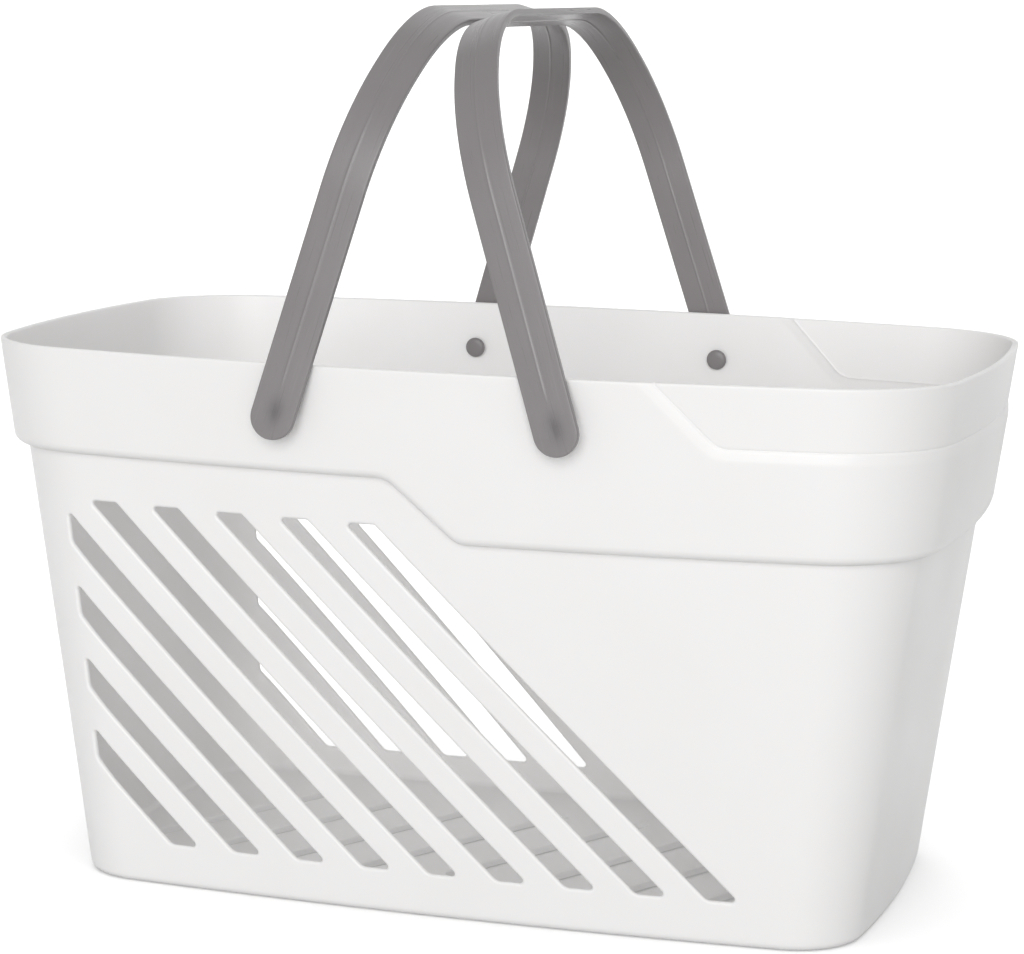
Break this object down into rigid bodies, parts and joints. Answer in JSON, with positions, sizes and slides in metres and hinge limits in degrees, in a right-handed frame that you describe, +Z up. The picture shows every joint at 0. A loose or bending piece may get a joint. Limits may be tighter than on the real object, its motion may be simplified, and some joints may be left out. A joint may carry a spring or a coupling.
{
  "type": "shower caddy",
  "caption": "Slotted rectangular plastic tub with a stepped collar and swinging strap handles, for carrying toiletries.",
  "frame": {"origin": "middle of the tub's footprint, on the surface that it stands on", "axes": "+X along the tub's length, towards the end with the lower collar; +Y to the rear; +Z up"},
  "size_m": [0.3391, 0.2196, 0.3013],
  "materials": {
    "tub_white": "satin moulded polypropylene, white",
    "handle_grey": "satin moulded low-density polyethylene, warm grey"
  },
  "bodies": {
    "tub": {"tub": "tub_white"},
    "left_handle": {"left_handle": "handle_grey"},
    "right_handle": {"right_handle": "handle_grey"}
  },
  "joints": [
    {"name": "left_handle_swing", "type": "hinge", "parent": "tub", "child": "left_handle", "pos_m": [-0.0474, 0, 0.1705], "axis": [0, -1, 0], "range_deg": [0, 139]},
    {"name": "right_handle_swing", "type": "hinge", "parent": "tub", "child": "right_handle", "pos_m": [0.0474, 0, 0.1705], "axis": [0, 1, 0], "range_deg": [0, 140]}
  ]
}
